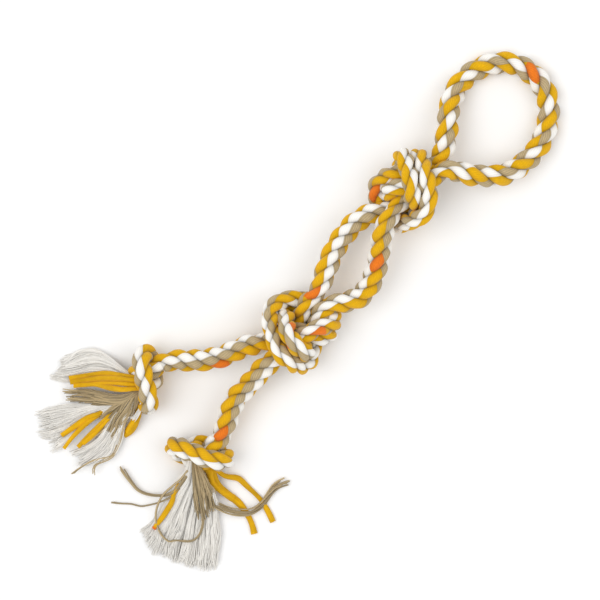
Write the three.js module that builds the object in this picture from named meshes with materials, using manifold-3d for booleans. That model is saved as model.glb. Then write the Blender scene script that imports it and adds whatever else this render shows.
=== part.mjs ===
// Rope dog toy: one length of three-strand rope folded in half, knotted twice with both ropes together,
// with a knot and a frayed tassel on each of its two tails. It lies flat, in millimetres, +Z up, with its
// handle towards +X.
import * as THREE from 'three';
import { mergeVertices } from 'three/addons/utils/BufferGeometryUtils.js';
import Module from 'manifold-3d';

const wasm = await Module();
wasm.setup();

// The rope, free and where a knot squeezes it
const ROPE_DIAMETER = 20;
const KNOT_ROPE_DIAMETER = 14.2;
const END_KNOT_ROPE_DIAMETER = 15.2;
const SWELL_LENGTH = 26; // how far past a knot the rope regains its full diameter
const ROPE_SIDES = 10;
const FREE_STEP = 9; // length of one step of a free stretch
const KNOT_STEP = 5; // length of one step round the turns of a knot
const LINE_STEPS = 12; // steps that the rope's line is measured in between two of its points
const ORIGIN = { x: 30.5, y: 0 }; // middle of the toy's outline in the layout below
const FLOOR_BLOCK = 1200; // edge of the block that stands for the floor

// Clearances
const FACE_GAP = 0.3; // between two lengths that meet end to end
const TURN_GAP = 0.8; // between turns that lie on each other in a knot
const YARN_GAP = 0.5; // between bundles of yarn that lie side by side or on each other
const FLAT_DEPTH = 2; // how deep the floor presses the underside flat, a tenth of the rope's diameter

// A loosely thrown overhand knot, in rope diameters, before it is drawn tight
const LOOSE_KNOT = [
  [-6, 0, 0], [-4, 0, 0], [-2.7, 0, -1.2], [0.5, 0, 1.2], [3.4, 1, -0.4], [4.4, 3.1, -1.2],
  [2.9, 5.7, 0], [-1, 6.5, 0.4], [-4.4, 4.4, 0.9], [-3.5, 0, 1.4], [-1.7, -2.9, 0.2],
  [0.5, -2.3, -1], [1, 0, -1.4], [2.1, 2.1, 0.2], [4.4, 3.1, 1.4], [5.5, 1, 0.4], [6, 0, 0],
];
const LOOSE_STEPS = 400;
const PAIR_SPACING = 1.1; // between the two ropes of a doubled knot, before it is drawn tight
const PAIR_POINTS = 96; // along each rope of a doubled knot
const PAIR_ROUNDS = 1000;
const END_POINTS = 72; // along the rope of an end knot
const END_ROUNDS = 800;
const PULL = 0.5; // share of the way to its neighbours' middle that a point is drawn at first
const PULLS = 2; // pulls in a round
const PRESSES = 3; // times in a round that touching turns are pressed apart
const OWN_REACH = 1.35; // a rope doesn't press on itself nearer than this along its length

// Where each knot lies: its middle, its roll about the rope, its turn about +Z and, in its own rope's
// diameters, how far its ropes belong to it on the side of the tails and of the handle
const UPPER_KNOT = { x: 143, y: 20, roll: 118, turn: 5, mirror: 1, tailSide: 1.9, handleSide: 1.9 };
const MIDDLE_KNOT = { x: -5, y: -5, roll: -20, turn: 2, mirror: 1, tailSide: 1.9, handleSide: 1.9 };
const LEFT_END_KNOT = { x: -132, y: 49.5, roll: 68, turn: 1, mirror: 1, tailSide: 1.1, handleSide: 1.2 };
const RIGHT_END_KNOT = { x: -139.5, y: -28.5, roll: 295, turn: -6, mirror: -1, tailSide: 1.1, handleSide: 1.2 };

// Routes of the free stretches between the knots' faces
const LEFT_TAIL = [[-102.5, 43.5, 23], [-90, 32, 24], [-72, 20.5, 25], [-53, 14, 25]];
const LEFT_LEG = [
  [30, 8, 28], [39.5, 13, 28], [50, 18.5, 28], [62, 24, 27], [78, 28, 26.5], [93, 29, 27],
  [106, 25.5, 27],
];
const LEFT_NECK = [[178, 20.5, 26], [189, 25, 26], [201, 34, 24.5], [213, 45, 21]];
const HANDLE_LOOP = [
  [225, 53, 16], [239, 58, 12], [255, 58, 9], [272, 52, 8], [285, 40, 8], [291, 24, 8], [291, 8, 8],
  [283, -8, 8], [270, -20, 9], [253, -28, 13], [234, -30, 18],
];
const RIGHT_NECK = [[214, -26, 24], [199, -15, 31], [188.5, -3, 36], [179.5, 9.5, 39.5]];
const RIGHT_LEG = [
  [113, 12, 39.5], [103, 7.5, 39], [92, -1, 35], [79, -11, 31], [66, -18, 29], [53, -21, 29],
  [42, -18, 31], [32, -11.5, 32],
];
const RIGHT_TAIL = [[-50, -11, 31], [-70, -13, 27], [-87, -14.5, 25], [-100, -20, 24], [-111, -26.5, 23]];

// Tassels: the middle that the yarns fan out from, and how they fall to the floor
const TASSELS = { left: { x: -138.2, y: 44.9 }, right: { x: -145.4, y: -25.1 } };
const ROOT_RADIUS = 9; // from a tassel's middle to the cut that its bundles start from
const ROOT_HEIGHT = 15; // of a tassel's underside at its root
const FALL_LENGTH = 45; // from its root to where a tassel lies on the floor
const FLOOR_GAP = 0.2;
const ROOT_THICKNESS = 8; // of each of a tassel's two layers at its root
const LOWER_THICKNESS = 6; // of the lower layer on the floor
const UPPER_THICKNESS = 4; // of the yarns that lie on it
const FAN_STEP = 8; // rings lie at whole steps from the tassel's middle, so that layers stay parallel
const FAN_POINTS = 12;
const FAN_ROUNDING = 0.6; // 1 makes a bundle's section an ellipse, 0 a rectangle
const YARN_STEP = 7;
const YARN_SIDES = 6;

// Bundles of yarn: their edges in degrees about their tassel's middle, and where they start and end from it.
// A yarn's name begins with its tassel and its colour.
const YARN_FANS = [
  { name: 'left_tassel_white_top_short', from: 102, to: 117, start: 22, reach: 64, layer: 'lower' },
  { name: 'left_tassel_white_top_long', from: 117, to: 138, start: 18.5, reach: 83, layer: 'lower' },
  { name: 'left_tassel_tan', from: 138, to: 153, reach: 76, layer: 'lower' },
  { name: 'left_tassel_white_side_upper', from: 153, to: 165, reach: 101, layer: 'lower' },
  { name: 'left_tassel_white_side_lower', from: 165, to: 177, reach: 101, layer: 'lower' },
  { name: 'left_tassel_white_low_long', from: 177, to: 191, start: 12, reach: 95, layer: 'lower' },
  { name: 'left_tassel_white_low_short', from: 191, to: 205, start: 20, reach: 84, layer: 'lower' },
  { name: 'left_tassel_yellow_low', from: 205, to: 219, start: 26, reach: 46, layer: 'lower' },
  { name: 'left_tassel_yellow_wide', from: 124, to: 144, start: 13, reach: 66, layer: 'upper' },
  { name: 'left_tassel_yellow_side', from: 173, to: 179, start: 44, reach: 91, layer: 'upper' },
  { name: 'left_tassel_yellow_front', from: 181, to: 187, start: 40, reach: 81, layer: 'upper' },
  { name: 'right_tassel_white_first', from: 189, to: 203, reach: 88, layer: 'lower' },
  { name: 'right_tassel_white_second', from: 203, to: 219, reach: 95, layer: 'lower' },
  { name: 'right_tassel_white_third', from: 219, to: 233, start: 16.5, reach: 98, layer: 'lower' },
  { name: 'right_tassel_white_fourth', from: 233, to: 246, start: 19, reach: 104, layer: 'lower' },
  { name: 'right_tassel_yellow_thick', from: 262, to: 270, start: 33, reach: 86, layer: 'lower' },
  { name: 'right_tassel_yellow_top', from: 197, to: 203.5, start: 11, reach: 66, layer: 'upper' },
  { name: 'right_tassel_tan_front', from: 212, to: 246, start: 22, reach: 46, layer: 'upper' },
];

// Single yarns that lie loose, with hand-chosen routes
const LOOSE_YARNS = [
  { name: 'right_tassel_tan_left', radius: 3,
    points: [[-159.5, -24.1, 19.5], [-170, -22.5, 14], [-186, -22, 6], [-200, -18, 3.3], [-208, -6, 3.3],
      [-204, 9, 3.3]] },
  { name: 'right_tassel_tan_thin', radius: 1.6,
    points: [[-192, -31, 2.6], [-202, -30.5, 1.9], [-214, -25, 1.9], [-229, -9, 1.9]] },
  { name: 'right_tassel_tan_loop', radius: 1.8,
    points: [[-190, -35, 11.6], [-203, -39, 8.9], [-217, -50, 8.7], [-218, -64, 8.7], [-206, -77, 8.7],
      [-190, -80, 8.7], [-178, -70, 9]] },
  { name: 'right_tassel_tan_right', radius: 2.5,
    points: [[-160, -63, 8], [-159, -76, 8.4], [-154, -88, 9.2], [-145, -96, 9.2], [-134, -99, 7.5],
      [-118, -96, 3], [-106, -94, 2.8], [-99, -103, 2.8]] },
  { name: 'right_tassel_yellow_thin', radius: 2,
    points: [[-143, -58, 7], [-136, -70, 2.6], [-133, -92, 2.3], [-137, -116, 2.3]] },
];

const vector = (p) => new THREE.Vector3(...p);
const radians = THREE.MathUtils.degToRad;

function looseRopes(sides, count) {
  const line = new THREE.CatmullRomCurve3(LOOSE_KNOT.map(vector));
  const up = new THREE.Vector3(0, 0, 1);
  return sides.map((side) => {
    const points = [];
    for (let i = 0; i <= LOOSE_STEPS; i += 1) {
      const across = new THREE.Vector3().crossVectors(up, line.getTangent(i / LOOSE_STEPS)).normalize();
      points.push(line.getPoint(i / LOOSE_STEPS).addScaledVector(across, side));
    }
    return new THREE.CatmullRomCurve3(points).getSpacedPoints(count - 1);
  });
}

function touchingPairs(points, count, ownPoints) {
  const pairs = [];
  for (let i = 0; i < points.length; i += 1) {
    for (let j = i + 1; j < points.length; j += 1) {
      const sameRope = Math.floor(i / count) === Math.floor(j / count);
      if (sameRope && j - i <= ownPoints) continue;
      if (points[i].distanceToSquared(points[j]) < 1) pairs.push([i, j]);
    }
  }
  return pairs;
}

function pressApart(points, pairs) {
  const touches = points.map(() => 0);
  pairs.flat().forEach((i) => { touches[i] += 1; });
  const moves = points.map(() => new THREE.Vector3());
  for (const [i, j] of pairs) {
    const push = points[i].clone().sub(points[j]);
    const distance = push.length();
    push.multiplyScalar((1 - distance) / distance / Math.max(2, touches[i], touches[j]));
    moves[i].add(push);
    moves[j].sub(push);
  }
  return moves;
}

// Draws loose ropes tight: each round pulls every point towards the middle of its neighbours, as a rope
// pulled from both ends is, and presses apart turns nearer than one diameter. The pull eases off.
function drawTight(ropes, rounds) {
  const count = ropes[0].length;
  const points = ropes.flat();
  const isEnd = (i) => i % count === 0 || i % count === count - 1;
  for (let round = 0; round < rounds; round += 1) {
    const pull = PULL * (1 - round / rounds);
    for (let i = 0; i < PULLS; i += 1) {
      const before = points.map((p) => p.clone());
      points.forEach((p, k) => {
        if (!isEnd(k)) p.lerp(before[k - 1].clone().lerp(before[k + 1], 0.5), pull);
      });
    }
    const length = points.reduce((sum, p, k) => sum + (k % count ? p.distanceTo(points[k - 1]) : 0), 0);
    const ownPoints = OWN_REACH * ropes.length * (count - 1) / length;
    for (let i = 0; i < PRESSES; i += 1) {
      const moves = pressApart(points, touchingPairs(points, count, ownPoints));
      points.forEach((p, k) => { if (!isEnd(k)) p.add(moves[k]); });
    }
  }
  return ropes;
}

// Puts a tight knot in its place on the floor and drops the straight ends past its faces
function placeKnot(ropes, knot, diameter) {
  const turned = new THREE.Matrix4().makeRotationZ(radians(knot.turn))
    .multiply(new THREE.Matrix4().makeRotationX(radians(knot.roll)))
    .multiply(new THREE.Matrix4().makeScale(diameter, diameter * knot.mirror, diameter));
  const kept = ropes.map((points) => {
    const first = points.findIndex((p) => p.x > -knot.tailSide);
    const last = points.findLastIndex((p) => p.x < knot.handleSide);
    return points.slice(first, last + 1).map((p) => p.clone().applyMatrix4(turned));
  });
  const box = new THREE.Box3().setFromPoints(kept.flat());
  const middle = box.getCenter(new THREE.Vector3());
  const lift = diameter / 2 - FLAT_DEPTH - box.min.z;
  kept.flat().forEach((p) => p.add(new THREE.Vector3(knot.x - middle.x, knot.y - middle.y, lift)));
  return kept;
}

const spread = PAIR_SPACING / 2;
const tightPair = drawTight(looseRopes([spread, -spread], PAIR_POINTS), PAIR_ROUNDS);
const tightEnd = drawTight(looseRopes([0], END_POINTS), END_ROUNDS);
const [upperRight, upperLeft] = placeKnot(tightPair, UPPER_KNOT, KNOT_ROPE_DIAMETER);
const [middleLeft, middleRight] = placeKnot(tightPair, MIDDLE_KNOT, KNOT_ROPE_DIAMETER);
const [leftEnd] = placeKnot(tightEnd, LEFT_END_KNOT, END_KNOT_ROPE_DIAMETER);
const [rightEnd] = placeKnot(tightEnd, RIGHT_END_KNOT, END_KNOT_ROPE_DIAMETER);

// The whole rope, from one tassel to the other, as lengths that meet face to face
const pairRadius = (KNOT_ROPE_DIAMETER - TURN_GAP) / 2;
const endRadius = (END_KNOT_ROPE_DIAMETER - TURN_GAP) / 2;
const freeRadius = ROPE_DIAMETER / 2;
const LENGTHS = [
  { name: 'left_end_knot', points: leftEnd, radius: endRadius },
  { name: 'left_tail', points: LEFT_TAIL.map(vector) },
  { name: 'middle_knot_left_rope', points: middleLeft, radius: pairRadius },
  { name: 'left_leg', points: LEFT_LEG.map(vector) },
  { name: 'upper_knot_left_rope', points: upperLeft, radius: pairRadius },
  { name: 'left_handle_neck', points: LEFT_NECK.map(vector) },
  { name: 'handle_loop', points: HANDLE_LOOP.map(vector) },
  { name: 'right_handle_neck', points: RIGHT_NECK.map(vector) },
  { name: 'upper_knot_right_rope', points: upperRight.toReversed(), radius: pairRadius },
  { name: 'right_leg', points: RIGHT_LEG.map(vector) },
  { name: 'middle_knot_right_rope', points: middleRight.toReversed(), radius: pairRadius },
  { name: 'right_tail', points: RIGHT_TAIL.map(vector) },
  { name: 'right_end_knot', points: rightEnd.toReversed(), radius: endRadius },
];

// Least gap between turns of a knot that touch, measured between the points of its lines
function leastGap(ropes, diameter, radius) {
  const points = ropes.flat();
  const ownPoints = Math.ceil(OWN_REACH * diameter / points[0].distanceTo(points[1]));
  let least = Infinity;
  points.forEach((p, i) => {
    points.slice(i + 1).forEach((q, k) => {
      const sameRope = ropes.some((rope) => rope.includes(p) && rope.includes(q));
      if (!sameRope || k + 1 > ownPoints) least = Math.min(least, p.distanceTo(q) - 2 * radius);
    });
  });
  return least;
}
for (const [name, ropes, diameter, radius] of [
  ['upper knot', [upperLeft, upperRight], KNOT_ROPE_DIAMETER, pairRadius],
  ['middle knot', [middleLeft, middleRight], KNOT_ROPE_DIAMETER, pairRadius],
  ['left end knot', [leftEnd], END_KNOT_ROPE_DIAMETER, endRadius],
  ['right end knot', [rightEnd], END_KNOT_ROPE_DIAMETER, endRadius],
]) {
  console.log(`${name}: least gap between turns ${leastGap(ropes, diameter, radius).toFixed(2)} mm`);
}

const ropePoints = LENGTHS.flatMap((length) => length.points);
const ropeLine = new THREE.CatmullRomCurve3(ropePoints, false, 'centripetal');
ropeLine.arcLengthDivisions = (ropePoints.length - 1) * LINE_STEPS;
const travelled = ropeLine.getLengths();
const ropeLength = travelled.at(-1);

// Each knot's rope runs from its first point to its last; the free stretches fill in between
let used = 0;
for (const length of LENGTHS) {
  length.first = travelled[used * LINE_STEPS];
  used += length.points.length;
  length.last = travelled[(used - 1) * LINE_STEPS];
}
const handle = LENGTHS.find((length) => length.name === 'handle_loop');
LENGTHS.forEach((length, i) => {
  if (length.radius || length === handle) return;
  const before = LENGTHS[i - 1];
  const after = LENGTHS[i + 1];
  length.first = before.last;
  length.last = after.first;
});

// Radius at a distance along the rope: squeezed in a knot, and swelling to full size past its face
function ropeRadius(distance) {
  let radius = freeRadius;
  for (const length of LENGTHS) {
    if (!length.radius) continue;
    const outside = Math.max(length.first - distance, distance - length.last, 0);
    const swell = THREE.MathUtils.smoothstep(outside, 0, SWELL_LENGTH);
    radius = Math.min(radius, THREE.MathUtils.lerp(length.radius, freeRadius, swell));
  }
  return radius;
}

// A closed skin over rings of equal point count, listed so that the rings advance along their right-hand axis
function skin(rings) {
  const sides = rings[0].length;
  const ends = [rings[0], rings.at(-1)].map((ring) => {
    const sum = ring.reduce((total, p) => total.add(p), new THREE.Vector3());
    return sum.divideScalar(sides);
  });
  const points = [...rings.flat(), ...ends];
  const faces = [];
  for (let i = 0; i < rings.length - 1; i += 1) {
    for (let k = 0; k < sides; k += 1) {
      const a = i * sides + k;
      const b = i * sides + (k + 1) % sides;
      faces.push(a, b, b + sides, a, b + sides, a + sides);
    }
  }
  const lastRing = (rings.length - 1) * sides;
  for (let k = 0; k < sides; k += 1) {
    const next = (k + 1) % sides;
    faces.push(points.length - 2, next, k);
    faces.push(points.length - 1, lastRing + k, lastRing + next);
  }
  const geometry = new THREE.BufferGeometry();
  geometry.setAttribute('position', new THREE.Float32BufferAttribute(points.flatMap((p) => p.toArray()), 3));
  geometry.setIndex(faces);
  return geometry;
}

// Rings square to a line, turned as little as possible from one to the next
function tubeRings(stations, sides) {
  const side = new THREE.Vector3(0, 0, 1).cross(stations[0].along).normalize();
  return stations.map(({ at, along, radius }) => {
    side.addScaledVector(along, -side.dot(along)).normalize();
    const up = new THREE.Vector3().crossVectors(along, side);
    return Array.from({ length: sides }, (_, k) => {
      const angle = 2 * Math.PI * (k + 0.5) / sides;
      return at.clone()
        .addScaledVector(side, radius * Math.cos(angle))
        .addScaledVector(up, radius * Math.sin(angle));
    });
  });
}

function ropeTube({ first, last, radius }) {
  const start = first + FACE_GAP / 2;
  const end = last - FACE_GAP / 2;
  const steps = Math.ceil((end - start) / (radius ? KNOT_STEP : FREE_STEP));
  const stations = [];
  for (let i = 0; i <= steps; i += 1) {
    const distance = THREE.MathUtils.lerp(start, end, i / steps);
    const t = ropeLine.getUtoTmapping(distance / ropeLength);
    stations.push({ at: ropeLine.getPoint(t), along: ropeLine.getTangent(t), radius: ropeRadius(distance) });
  }
  return skin(tubeRings(stations, ROPE_SIDES));
}

// Height of a tassel's underside, lower layer and upper layer at a distance from its middle
function tasselHeights(distance) {
  const fall = 1 - THREE.MathUtils.smoothstep(distance - ROOT_RADIUS, 0, FALL_LENGTH);
  const under = FLOOR_GAP + ROOT_HEIGHT * fall;
  const lowerTop = under + THREE.MathUtils.lerp(LOWER_THICKNESS, ROOT_THICKNESS, fall);
  const upperTop = lowerTop + YARN_GAP + THREE.MathUtils.lerp(UPPER_THICKNESS, ROOT_THICKNESS, fall);
  return { lower: [under, lowerTop], upper: [lowerTop + YARN_GAP, upperTop] };
}

// A fan of yarn between two directions from a tassel's middle, in degrees, draped over what it lies on
function yarnFan({ name, from, to, start = ROOT_RADIUS, reach, layer }) {
  const tassel = TASSELS[name.split('_')[0]];
  const distances = [start];
  for (let i = Math.floor(start / FAN_STEP) + 1; i * FAN_STEP < reach; i += 1) distances.push(i * FAN_STEP);
  distances.push(reach);
  const rings = distances.map((distance) => {
    const edge = THREE.MathUtils.radToDeg(YARN_GAP / 2 / distance);
    const middle = (from + to) / 2;
    const half = (to - from) / 2 - edge;
    const [low, high] = tasselHeights(distance)[layer];
    const ring = [];
    for (let k = 0; k < FAN_POINTS; k += 1) {
      const turn = 2 * Math.PI * (k + 0.5) / FAN_POINTS;
      const across = Math.sign(Math.cos(turn)) * Math.abs(Math.cos(turn)) ** FAN_ROUNDING;
      const rise = Math.sign(Math.sin(turn)) * Math.abs(Math.sin(turn)) ** FAN_ROUNDING;
      const angle = radians(middle + half * across);
      const z = THREE.MathUtils.lerp(low, high, (1 + rise) / 2);
      const x = tassel.x + distance * Math.cos(angle);
      const y = tassel.y + distance * Math.sin(angle);
      ring.push(new THREE.Vector3(x, y, z));
    }
    return ring;
  });
  return skin(rings);
}

function yarnTube({ points, radius }) {
  const line = new THREE.CatmullRomCurve3(points.map(vector), false, 'centripetal');
  const steps = Math.ceil(line.getLength() / YARN_STEP);
  const stations = [];
  for (let i = 0; i <= steps; i += 1) {
    const t = line.getUtoTmapping(i / steps);
    stations.push({ at: line.getPoint(t), along: line.getTangent(t), radius });
  }
  return skin(tubeRings(stations, YARN_SIDES));
}

function solid(geometry) {
  const bare = geometry.clone();
  bare.deleteAttribute('normal');
  bare.deleteAttribute('uv');
  const merged = mergeVertices(bare);
  return new wasm.Manifold(new wasm.Mesh({
    numProp: 3,
    vertProperties: new Float32Array(merged.attributes.position.array),
    triVerts: new Uint32Array(merged.index.array),
  }));
}

// Presses flat what would reach through the floor
const block = new THREE.BoxGeometry(FLOOR_BLOCK, FLOOR_BLOCK, FLOOR_BLOCK).translate(0, 0, -FLOOR_BLOCK / 2);
const floorBlock = solid(block);

function restOnFloor(geometry) {
  geometry.computeBoundingBox();
  if (geometry.boundingBox.min.z >= 0) return geometry;
  const { vertProperties, triVerts } = solid(geometry).subtract(floorBlock).getMesh();
  const cut = new THREE.BufferGeometry();
  cut.setAttribute('position', new THREE.BufferAttribute(vertProperties, 3));
  cut.setIndex(new THREE.BufferAttribute(triVerts, 1));
  return cut;
}

const COTTON = { roughness: 0.95, metalness: 0 };
const MATERIALS = {
  rope: new THREE.MeshStandardMaterial({ name: 'rope', color: '#dcc07c', ...COTTON }),
  white: new THREE.MeshStandardMaterial({ name: 'white_yarn', color: '#ece9e2', ...COTTON }),
  yellow: new THREE.MeshStandardMaterial({ name: 'yellow_yarn', color: '#efb30f', ...COTTON }),
  tan: new THREE.MeshStandardMaterial({ name: 'tan_yarn', color: '#b09a74', ...COTTON }),
};

const yarnMaterial = (name) => MATERIALS[name.split('_')[2]];

const group = new THREE.Group();
group.name = 'rope_dog_toy';

function addPiece(name, geometry, material) {
  const placed = restOnFloor(geometry).translate(-ORIGIN.x, -ORIGIN.y, 0);
  placed.computeVertexNormals();
  const mesh = new THREE.Mesh(placed, material);
  mesh.name = name;
  group.add(mesh);
}

for (const length of LENGTHS) addPiece(length.name, ropeTube(length), MATERIALS.rope);
for (const fan of YARN_FANS) addPiece(fan.name, yarnFan(fan), yarnMaterial(fan.name));
for (const yarn of LOOSE_YARNS) addPiece(yarn.name, yarnTube(yarn), yarnMaterial(yarn.name));

export default group;
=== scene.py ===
# %% [markdown]
# # A knotted rope dog toy
# One length of three-strand cotton rope is folded in half. Both halves are knotted together twice, which
# leaves a hand loop, two legs and two tails. Each tail has a knot of its own and is frayed into a tassel
# past it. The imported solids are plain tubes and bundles. This lesson dresses them with strands and threads,
# in metres and in the same frame.

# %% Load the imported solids
import math
import bpy
import numpy as np
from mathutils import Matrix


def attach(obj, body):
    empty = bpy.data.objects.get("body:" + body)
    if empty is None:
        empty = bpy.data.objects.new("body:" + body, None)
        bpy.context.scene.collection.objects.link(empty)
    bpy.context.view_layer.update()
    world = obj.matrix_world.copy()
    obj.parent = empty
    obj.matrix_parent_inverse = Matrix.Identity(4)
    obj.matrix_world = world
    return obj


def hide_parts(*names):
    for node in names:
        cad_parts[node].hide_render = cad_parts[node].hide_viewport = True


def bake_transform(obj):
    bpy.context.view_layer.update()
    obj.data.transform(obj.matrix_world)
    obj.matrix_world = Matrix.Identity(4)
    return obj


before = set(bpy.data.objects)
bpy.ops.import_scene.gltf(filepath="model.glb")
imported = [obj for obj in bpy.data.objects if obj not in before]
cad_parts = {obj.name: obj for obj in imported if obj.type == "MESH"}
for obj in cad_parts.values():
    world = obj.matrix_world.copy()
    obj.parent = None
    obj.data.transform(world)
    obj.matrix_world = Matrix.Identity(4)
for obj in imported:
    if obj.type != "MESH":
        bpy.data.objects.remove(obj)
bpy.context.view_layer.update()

MM = 0.001

# %% [markdown]
# ## Camera
# The photograph looks straight down on the toy, which lies at 42 degrees across it. A wide lens close above
# would enlarge the high knots, so a long lens looks from far above.

# %% Camera
VIEW_CENTRE = (-20.0 * MM, 11.6 * MM)
VIEW_WIDTH = 522 * MM
VIEW_HEIGHT = 2.6
VIEW_TURN = -42  # degrees
SENSOR_WIDTH = 36


def new_object(name, data):
    """An object in the scene that shows data, such as a mesh or a lamp."""
    made = bpy.data.objects.new(name, data)
    bpy.context.scene.collection.objects.link(made)
    return made


lens = bpy.data.cameras.new("camera")
lens.sensor_width = SENSOR_WIDTH
lens.lens = SENSOR_WIDTH * VIEW_HEIGHT / VIEW_WIDTH
camera = new_object("camera", lens)
camera.location = (*VIEW_CENTRE, VIEW_HEIGHT)
camera.rotation_euler = (0, 0, math.radians(VIEW_TURN))
bpy.context.scene.camera = camera
print("lens:", round(lens.lens), "mm")

# %% [markdown]
# ## The line that the rope follows
# A rope has no corners, so its line is a smooth curve through points. A curve object could draw it, but the
# knots need its points as numbers. The centripetal Catmull-Rom curve is short, and the solids follow it
# too.

# %% A curve through points
SMALL_STEP = 1e-4  # share of a curve over which its direction is measured


def curve(points, t):
    """Points on a centripetal Catmull-Rom curve at t, which runs from 0 to 1 over all the points."""
    points = np.asarray(points, float)
    before, after = 2 * points[0] - points[1], 2 * points[-1] - points[-2]
    row = np.concatenate([[before], points, [after]])
    place = np.clip(np.asarray(t, float), 0, 1) * (len(points) - 1)
    i = np.minimum(place.astype(int), len(points) - 2)
    w = (place - i)[:, None]
    # four neighbours, the roots of the distances between them, and the directions at the middle two
    x0, x1, x2, x3 = (row[i + k] for k in range(4))
    pairs = (x0, x1), (x1, x2), (x2, x3)
    d0, d1, d2 = (np.sqrt(np.linalg.norm(b - a, axis=1))[:, None] for a, b in pairs)
    t1 = ((x1 - x0) / d0 - (x2 - x0) / (d0 + d1) + (x2 - x1) / d1) * d1
    t2 = ((x2 - x1) / d1 - (x3 - x1) / (d1 + d2) + (x3 - x2) / d2) * d1
    return x1 + t1 * w + (3 * (x2 - x1) - 2 * t1 - t2) * w ** 2 + (2 * (x1 - x2) + t1 + t2) * w ** 3


def unit(rows):
    """The same directions, each with a length of 1."""
    return rows / np.linalg.norm(rows, axis=1)[:, None]


def tangents(points, t):
    """Directions of a curve at t."""
    return unit(curve(points, np.asarray(t) + SMALL_STEP) - curve(points, np.asarray(t) - SMALL_STEP))


def lengths(line):
    """Distance travelled along a row of points."""
    return np.concatenate([[0], np.cumsum(np.linalg.norm(np.diff(line, axis=0), axis=1))])


bend = curve([(0, 0), (1, 0), (1, 1)], np.linspace(0, 1, 101))
print("a curve through a corner of two unit sides is", round(lengths(bend)[-1], 2), "long")

# %% [markdown]
# ## Loose knots
# The toy has four overhand knots, two of them tied with both ropes at once. Turns that press on each other
# are hard to draw one by one, so a knot is first thrown loosely, as by hand. Sizes in these two cells are
# in rope diameters.

# %% Loose knots
LOOSE_KNOT = [
    (-6, 0, 0), (-4, 0, 0), (-2.7, 0, -1.2), (0.5, 0, 1.2), (3.4, 1, -0.4), (4.4, 3.1, -1.2),
    (2.9, 5.7, 0), (-1, 6.5, 0.4), (-4.4, 4.4, 0.9), (-3.5, 0, 1.4), (-1.7, -2.9, 0.2),
    (0.5, -2.3, -1), (1, 0, -1.4), (2.1, 2.1, 0.2), (4.4, 3.1, 1.4), (5.5, 1, 0.4), (6, 0, 0),
]
KNOT_STEPS, ROPE_STEPS = 401, 201  # points that measure the knot's line, and a rope beside it
PAIR_ASIDE = 0.55
PAIR_POINTS, END_POINTS = 96, 72
UP = (0, 0, 1)


def loose_ropes(sides, count):
    """Ropes of count points in a loose knot, each at its distance to the side of the knot's line."""
    t = np.linspace(0, 1, KNOT_STEPS)
    line = curve(LOOSE_KNOT, t)
    across = unit(np.cross(UP, tangents(LOOSE_KNOT, t)))
    t = np.linspace(0, 1, ROPE_STEPS)
    ropes = []
    for side in sides:
        beside = line + side * across
        far = lengths(curve(beside, t))
        ropes.append(curve(beside, np.interp(np.linspace(0, far[-1], count), far, t)))
    return np.array(ropes)


loose_pair = loose_ropes((PAIR_ASIDE, -PAIR_ASIDE), PAIR_POINTS)
loose_end = loose_ropes((0,), END_POINTS)
print("loose ropes:", [round(lengths(rope)[-1], 1) for rope in (*loose_pair, *loose_end)], "diameters long")

# %% [markdown]
# Then the knot is pulled tight. A simulation could do that but is hard to steer. Here each round pulls
# every point towards its neighbours and presses touching turns apart, and the pull dies away until they lie
# still. The solids' knots are made the same way.

# %% Tight knots
OWN_REACH = 1.35  # a rope doesn't press on itself nearer than this along its length
PULL, PULLS, PRESSES = 0.5, 2, 3  # strength of a pull, and how many pulls and presses make a round
PAIR_ROUNDS, END_ROUNDS = 1000, 800


def press_apart(points, a, b, held):
    """Moves the points of each pair apart if they lie nearer than one diameter."""
    square = ((points[a] - points[b]) ** 2).sum(1)
    near = square < 1
    p, q = a[near], b[near]
    touches = np.bincount(np.concatenate([p, q]), minlength=len(points))
    distance = np.sqrt(square[near])
    share = (1 - distance) / distance / np.maximum(2, np.maximum(touches[p], touches[q]))
    push = (points[p] - points[q]) * share[:, None]
    move = np.zeros_like(points)
    np.add.at(move, p, push)
    np.add.at(move, q, -push)
    move[held] = 0
    points += move


def draw_tight(ropes, rounds):
    """Loose ropes pulled tight, with their ends held."""
    ropes = ropes.copy()
    count = ropes.shape[1]
    points = ropes.reshape(-1, 3)
    i, j = np.triu_indices(len(points), 1)
    same_rope = i // count == j // count
    held = np.isin(np.arange(len(points)) % count, (0, count - 1))
    for n in range(rounds):
        for _ in range(PULLS):
            middles = (ropes[:, :-2] + ropes[:, 2:]) / 2
            ropes[:, 1:-1] += PULL * (1 - n / rounds) * (middles - ropes[:, 1:-1])
        step = np.linalg.norm(np.diff(ropes, axis=1), axis=2).mean()
        free = ~same_rope | (j - i > OWN_REACH / step)
        a, b = i[free], j[free]
        for _ in range(PRESSES):
            press_apart(points, a, b, held)
    return ropes


tight_pair = draw_tight(loose_pair, PAIR_ROUNDS)
tight_end = draw_tight(loose_end, END_ROUNDS)
print("tight ropes:", [round(lengths(rope)[-1], 2) for rope in (*tight_pair, *tight_end)], "diameters long")

# %% [markdown]
# ## Where the rope runs
# Between the knots the rope lies free. A simulated rope would fall somewhere else, and the photograph shows
# where this one lies. So its stretches are laid out by points in millimetres, with the height last. ORIGIN
# is the middle of the toy in that layout.

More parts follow.
